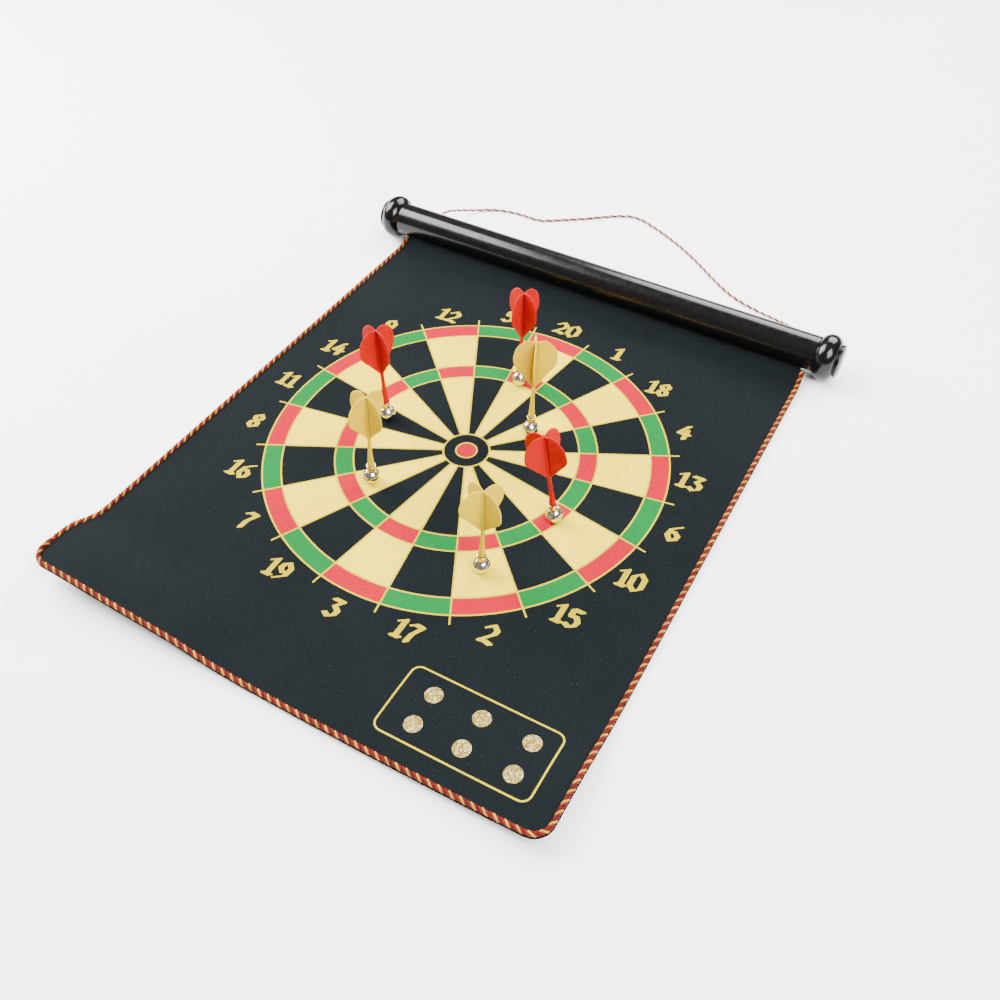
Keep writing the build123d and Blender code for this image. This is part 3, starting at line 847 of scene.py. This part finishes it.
def edge_path(which):
    """The piping's line in one piece of the sheet, as flat points, and all round the end in the last."""
    left, right = MAT_X - PIPING_INSET, MAT_X + PIPING_INSET
    if which < LAST:
        paths = []
        for u in (left, right):
            if which == 0:
                low, high, count = slant(SEAM_V, u), slant(TOP_V, u) - 1.2, 64
            elif which == 1:
                low, high, count = tail_seams[0], slant(SEAM_V, u), 660
            else:
                low, high, count = tail_seams[which - 1], tail_seams[which - 2], 32
            paths.append(np.array([(u, v) for v in np.linspace(low, high, count)]))
        return paths
    r = CORNER_R - PIPING_R
    low = MAT_FRONT + PIPING_R
    start = tail_seams[-1]
    quarter = np.linspace(0, math.pi / 2, 40)[1:]
    pts = [(left, v) for v in np.linspace(start, low + r, 18)]
    pts += [(left + r - r * math.cos(a), low + r - r * math.sin(a)) for a in quarter]
    pts += [(u, low) for u in np.linspace(left + r, right - r, 820)[1:]]
    pts += [(right - r + r * math.sin(a), low + r - r * math.cos(a)) for a in quarter]
    pts += [(right, v) for v in np.linspace(low + r, start, 18)[1:]]
    return [np.array(pts)]


LAST = len(tail_seams) + 1
PIPING_PITCH = 0.0066  # one full turn of the three strands
PIPING_OFF_CENTRE = 0.00078
PIPING_ZERO = 0.4  # y from which its length is counted, down the left side
PIPING_THREAD = 0.00086  # radius of a strand


def piping_piece(name, which):
    parts = []
    for path in edge_path(which):
        points = place(path[:, 0], path[:, 1], PIPING_Z)
        under = place(path[:, 0], path[:, 1], 0.0)
        ups = points - under
        ups /= np.linalg.norm(ups, axis=1)[:, None]
        tangents = np.gradient(points, axis=0)
        tangents /= np.linalg.norm(tangents, axis=1)[:, None]
        ups -= tangents * (ups * tangents).sum(axis=1)[:, None]
        ups /= np.linalg.norm(ups, axis=1)[:, None]
        sides = np.cross(tangents, ups)
        flat_len = np.r_[0, np.cumsum(np.linalg.norm(np.diff(path, axis=0), axis=1))] * MM
        left_side = path[0][0] < MAT_X
        if which == LAST:
            at = flat_len + (PIPING_ZERO - tail_seams[-1] * MM)
        else:
            at = PIPING_ZERO - path[:, 1] * MM if left_side else PIPING_ZERO + path[:, 1] * MM + right_offset
        for strand in range(3):
            v, f = strand_mesh(
                points, ups, sides, at, PIPING_OFF_CENTRE, PIPING_THREAD, PIPING_PITCH,
                strand * 2 * math.pi / 3, 8, wobble=0.00006, seed=strand * 1.7,
            )
            parts.append((v, f, strand))
    v, f, index = join(parts)
    return mesh_object(name, v, f, [THREAD_RED, THREAD_GOLD, THREAD_ORANGE], index)


end_path = edge_path(LAST)[0]
end_length = float(np.sum(np.linalg.norm(np.diff(end_path, axis=0), axis=1))) * MM
right_offset = (PIPING_ZERO - tail_seams[-1] * MM + end_length) - (PIPING_ZERO + tail_seams[-1] * MM)

for which in range(LAST + 1):
    if which == 0:
        name, bodies = "sheet_neck", ("roller", "mat")
    elif which == 1:
        name, bodies = "sheet_main", ("mat",)
    else:
        k = which - 2  # the piece lies between body k and body k + 1, where body 0 is the mat
        name, bodies = f"sheet_fold_{k + 1}", (f"tail_{k}" if k else "mat", f"tail_{k + 1}")
    piece = sheet_piece(name, which)
    piping = piping_piece(name.replace("sheet", "piping"), which)
    for obj in (piece, piping):
        if len(bodies) == 1:
            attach(obj, bodies[0])
        elif which == 0:
            end = TUBE + AC * -(FLAT_BACK - 4.0) - np.array([0, 0, TUBE[2] - SHEET_T / 2 - 0.3])
            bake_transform(obj)
        else:
            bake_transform(obj)
    if which == 0:
        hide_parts("mat_neck")
        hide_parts("neck_piping")
    elif which == 1:
        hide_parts("mat_back_cloth", "mat_iron_sheet", "mat_front_cloth")
        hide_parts("mat_piping")
    else:
        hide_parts(f"mat_strip_{which - 1}")
        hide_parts(f"piping_strip_{which - 1}")

shade_node("mat_hem", BACK)
shade_node("hem_rod", STEEL)


# ------------------------------------------------------------------ turned pieces
def lathe(name, profile, origin, axis, across, material, steps=64):
    """Turns (along, radius) points round an axis; ends on the axis close the form."""
    axis, across = Vector(axis).normalized(), Vector(across).normalized()
    side = axis.cross(across)
    verts, faces, rings = [], [], []
    for along, radius in profile:
        if radius < 1e-7:
            rings.append([len(verts)])
            verts.append(Vector(origin) + axis * along)
            continue
        ring = []
        for k in range(steps):
            a = 2 * math.pi * k / steps
            ring.append(len(verts))
            verts.append(Vector(origin) + axis * along + (across * math.cos(a) + side * math.sin(a)) * radius)
        rings.append(ring)
    for one, two in zip(rings, rings[1:]):
        for k in range(steps):
            j = (k + 1) % steps
            if len(one) == 1:
                faces.append((one[0], two[j], two[k]))
            elif len(two) == 1:
                faces.append((one[k], one[j], two[0]))
            else:
                faces.append((one[k], one[j], two[j], two[k]))
    return mesh_object(name, verts, faces, [material])


def scaled(points, factor=MM):
    return [(a * factor, r * factor) for a, r in points]


def three_point_arc(a, b, c, steps):
    """Points of the circle's arc from a through b to c."""
    ax, ay, bx, by, cx, cy = *a, *b, *c
    d = 2 * (ax * (by - cy) + bx * (cy - ay) + cx * (ay - by))
    ux = ((ax**2 + ay**2) * (by - cy) + (bx**2 + by**2) * (cy - ay) + (cx**2 + cy**2) * (ay - by)) / d
    uy = ((ax**2 + ay**2) * (cx - bx) + (bx**2 + by**2) * (ax - cx) + (cx**2 + cy**2) * (bx - ax)) / d
    r = math.hypot(ax - ux, ay - uy)
    t0, tm, t1 = (math.atan2(y - uy, x - ux) for x, y in (a, b, c))
    while tm < t0:
        tm += 2 * math.pi
    while t1 < t0:
        t1 += 2 * math.pi
    if tm > t1:
        t1 -= 2 * math.pi
    return [(ux + r * math.cos(t), uy + r * math.sin(t)) for t in np.linspace(t0, t1, steps)]


TUBE_HALF = 0.1837  # half the tube's length, without the caps
for side, hand in ((-1, "left"), (1, "right")):
    profile = [(-6.0, 0.0), (-6.0, 11.4), (-5.7, 11.7), (-0.1, 11.7), (0.0, 11.8), (0.0, 12.5), (0.1, 12.8)]
    profile += three_point_arc((0.25, 13.0), (8.4, 17.5), (15.7, 12.15), 44)
    profile += [
        (15.95, 11.95), (16.2, 12.0), (16.5, 12.3), (16.8, 12.55), (17.2, 12.7), (17.65, 12.55),
        (17.95, 12.25), (18.1, 11.8), (18.2, 11.3), (18.5, 10.7), (18.8, 10.0), (19.1, 8.0),
        (19.4, 4.0), (19.5, 0.0),
    ]
    end = TUBE_CENTRE + ALONG * side * TUBE_HALF
    cap = lathe(f"cap_{hand}", scaled(profile), end, ALONG * side, ACROSS, CAP_BLACK, 96)
    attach(cap, "roller")
    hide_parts(f"end_cap_{hand}")

shade_node("roller_tube", TUBE_BLACK)


# ------------------------------------------------------------------ darts
FIN_TURN = {
    "red_dart_1": 77.8, "red_dart_2": 68.8, "red_dart_3": 83.9,
    "yellow_dart_1": 80.7, "yellow_dart_2": 31.4, "yellow_dart_3": 67.7,
}
FIN_BEND = {  # how far each soft fin stands off the square cross, in degrees
    "red_dart_1": (0, 0, -8, -12), "red_dart_2": (0, 0, 17, -2), "red_dart_3": (-2, 3, -28, 3),
    "yellow_dart_1": (0, 0, -8, -8), "yellow_dart_2": (0, 0, 0, -8), "yellow_dart_3": (0, 0, -21, 7),
}
BALL_R, BALL_Z = 5.8, 4.7
FIN_R, FIN_T = 14.6, 0.9
FIN_ROOT = 37.0  # ball centre to the fins' lower end
RIB = 1.6


def spline_points(points, steps):
    """Catmull-Rom through the points."""
    p = np.array(points, float)
    p = np.vstack([2 * p[0] - p[1], p, 2 * p[-1] - p[-2]])
    out = []
    for i in range(1, len(p) - 2):
        for t in np.linspace(0, 1, steps, endpoint=False):
            out.append(0.5 * (
                2 * p[i] + (p[i + 1] - p[i - 1]) * t
                + (2 * p[i - 1] - 5 * p[i] + 4 * p[i + 1] - p[i + 2]) * t**2
                + (3 * p[i] - p[i - 1] - 3 * p[i + 1] + p[i + 2]) * t**3
            ))
    out.append(p[-2])
    return np.array(out)


def fin_plan():
    """One flat fin, rounded and ribbed: its (radius, height) points, triangles and half thickness."""
    outline = spline_points([
        (1.2, 0), (8.3, 10.5), (13.4, 17.9), (FIN_R, 23.7),
        (13.0, 31.6), (8.3, 36.9), (4.4, 38.1), (0.3, 36.9),
    ], 8)
    outline = np.vstack([outline, [(0.0, 36.8), (0.0, 0.0)]])

    def inset(poly, d):
        nxt, prv = np.roll(poly, -1, axis=0), np.roll(poly, 1, axis=0)
        t = nxt - prv
        t /= np.linalg.norm(t, axis=1)[:, None] + 1e-12
        return poly + np.column_stack([-t[:, 1], t[:, 0]]) * d

    ring = outline[:-2]
    p = Plan()
    p.loop(outline)
    for depth in (0.22, 0.6):
        p.path(inset(outline, depth)[1:-3])
    for z in np.arange(1.0, 38.0, RIB / 4):
        p.path([(x, z) for x in (0.0, 3.2, 4.2, 5.4, 7.0, 10.0, 13.0, 16.0)])
    pts, _, tris, _, _, _ = delaunay_2d_cdt([Vector(q) for q in p.points], p.edges, [], 0, 0.0005)
    pts = np.array([tuple(q) for q in pts])
    tris = np.array([t for t in tris if len(t) == 3])

    def inside(q, poly):
        hit = np.zeros(len(q), bool)
        for a, b in zip(poly, np.roll(poly, -1, axis=0)):
            cross = (a[1] > q[:, 1]) != (b[1] > q[:, 1])
            with np.errstate(divide="ignore", invalid="ignore"):
                at = (b[0] - a[0]) * (q[:, 1] - a[1]) / (b[1] - a[1]) + a[0]
            hit ^= cross & (q[:, 0] < at)
        return hit

    tris = tris[inside(pts[tris].mean(axis=1), outline)]
    used, tris = np.unique(tris, return_inverse=True)
    tris, pts = tris.reshape(-1, 3), pts[used]
    a, b, c = (pts[tris[:, i]] for i in range(3))
    turn = (b - a)[:, 0] * (c - a)[:, 1] - (b - a)[:, 1] * (c - a)[:, 0]
    tris[turn < 0] = tris[turn < 0][:, ::-1]
    d = np.full(len(pts), 9.0)
    for a, b in zip(ring, ring[1:]):
        t = np.clip(((pts - a) @ (b - a)) / ((b - a) @ (b - a)), 0, 1)
        d = np.minimum(d, np.hypot(*(pts - a - t[:, None] * (b - a)).T))
    round_rim = 0.10 + (FIN_T / 2 - 0.10) * np.sqrt(np.clip(1 - (1 - d / 0.6) ** 2, 0, 1))
    half = np.where(d < 0.6, round_rim, FIN_T / 2)
    ribs = 0.10 * np.sin(2 * math.pi * pts[:, 1] / RIB)
    ribs = ribs * np.clip((pts[:, 0] - 3.6) / 1.6, 0, 1) * np.clip((d - 0.5) / 0.8, 0, 1)
    return pts, tris, half + ribs - 0.05


FIN_PTS, FIN_TRIS, FIN_HALF = fin_plan()


def dart_axis(name, ball):
    """The dart's own axis, from its collar."""
    low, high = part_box(f"{name}_collar")
    return ((low + high) / 2 - ball).normalized()


def build_dart(name):
    red = name.startswith("red")
    low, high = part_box(f"{name}_magnet")
    base = Vector(((low.x + high.x) / 2, (low.y + high.y) / 2, low.z))
    ball = base + Vector((0, 0, BALL_Z * MM))
    axis = dart_axis(name, ball)
    turn = math.radians(FIN_TURN[name])
    out = Vector((math.cos(turn), math.sin(turn), 0))
    out = (out - axis * out.dot(axis)).normalized()
    side = axis.cross(out)

    # foot: polished ball on a small flat base, with a recess for the magnet
    base_r = math.sqrt(BALL_R**2 - BALL_Z**2)
    foot = [
        (2.05, 0.0), (2.05, 2.85), (0.05, 2.85), (0.0, 2.95),
        (0.0, base_r + 0.45), (0.12, base_r + 0.6), (0.45, base_r + 0.6),
    ]
    foot += three_point_arc((0.62, base_r + 0.62), (BALL_Z, BALL_R), (BALL_Z + 4.75, 3.3), 30)
    foot += [(BALL_Z + z, r) for z, r in ((4.9, 3.15), (5.3, 3.1), (5.55, 3.05), (5.6, 2.8), (5.6, 0.0))]
    foot_obj = lathe(f"{name}_ball", scaled(foot), base, (0, 0, 1), out, CHROME, 64)
    # collar: turned tube with a lip, and the joint line above the ball
    collar = [
        (5.65, 2.05), (5.65, 2.7), (5.8, 2.95), (9.1, 2.95), (9.3, 2.82), (9.45, 3.0), (9.6, 3.2),
        (10.45, 3.2), (10.65, 3.1), (10.8, 2.9), (10.8, 2.3), (10.5, 2.05), (5.65, 2.05),
    ]
    collar_obj = lathe(f"{name}_sleeve", scaled(collar), ball, axis, out, BRASS, 48)
    stem = [
        (7.55, 0.0), (7.55, 1.9), (10.85, 1.93), (10.95, 2.2), (11.1, 2.34), (12.4, 2.34), (13.1, 2.22),
        (14.5, 2.05), (18.5, 1.75), (25.5, 1.35), (36.0, 1.22), (52.0, 1.05), (64.0, 0.9),
        (71.4, 0.75), (71.9, 0.4), (71.95, 0.0),
    ]
    material = FLIGHT_RED if red else FLIGHT_YELLOW
    stem_obj = lathe(f"{name}_stem", scaled(stem), ball, axis, out, material, 32)
    verts, faces = [], []
    n = len(FIN_PTS)
    for quarter in range(4):
        a = quarter * math.pi / 2 + math.radians(FIN_BEND[name][quarter])
        radial = out * math.cos(a) + side * math.sin(a)
        normal = radial.cross(axis)
        for sign in (1, -1):
            first = len(verts)
            for (rho, z), half in zip(FIN_PTS, FIN_HALF):
                verts.append(ball + (radial * rho + axis * (FIN_ROOT + z) + normal * (sign * half)) * MM)
            for t in FIN_TRIS:
                face = [first + i for i in t]
                faces.append(face if sign < 0 else face[::-1])
        front, back = len(verts) - 2 * n, len(verts) - n
        edges = dict.fromkeys((t[i], t[(i + 1) % 3]) for t in FIN_TRIS for i in range(3))
        for a0, b0 in edges:
            if (b0, a0) not in edges:
                faces.append((back + b0, back + a0, front + a0, front + b0))
    fins = mesh_object(f"{name}_fins", verts, faces, [material])
    for obj in (foot_obj, collar_obj, stem_obj, fins):
        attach(obj, name)
    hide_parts(f"{name}_foot")
    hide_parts(f"{name}_collar")
    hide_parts(f"{name}_flight")
    shade_node(f"{name}_magnet", NICKEL)


for dart in FIN_TURN:
    build_dart(dart)


# ------------------------------------------------------------------ floor and light
floor_mat = Nodes("floor_white", Roughness=0.6)
tone = floor_mat.noise(object_coords(floor_mat), 3.0, 2.0)
floor_mat.colour(floor_mat.mix(
    floor_mat.ramp(tone, 0.3, 0.7), (0.90, 0.90, 0.90, 1.0), (0.93, 0.93, 0.93, 1.0)
))
FLOOR_HALF = 6
floor_corners = [(x * FLOOR_HALF, y * FLOOR_HALF, 0) for x, y in ((-1, -1), (1, -1), (1, 1), (-1, 1))]
floor = mesh_object("floor", floor_corners, [(0, 1, 2, 3)], [floor_mat.mat])

world = bpy.data.worlds.new("studio")
world.use_nodes = True
background = world.node_tree.nodes["Background"]
background.inputs["Color"].default_value = (1.0, 1.0, 1.0, 1.0)
background.inputs["Strength"].default_value = 0.28
scene.world = world


def area_light(name, place_at, target, size, power):
    data = bpy.data.lights.new(name, "AREA")
    data.shape = "RECTANGLE"
    data.size, data.size_y = size
    data.energy = power
    obj = link(bpy.data.objects.new(name, data))
    obj.location = place_at
    obj.rotation_euler = (Vector(target) - Vector(place_at)).to_track_quat("-Z", "Y").to_euler()


area_light("left_box", (-1.15, 0.05, 1.0), (0, 0.05, 0), (1.0, 1.2), 112)
area_light("back_box", (0.15, 1.15, 1.0), (0, 0.1, 0), (1.2, 0.9), 60)
area_light("right_box", (0.85, -0.45, 1.1), (0, 0.05, 0), (0.9, 0.9), 58)
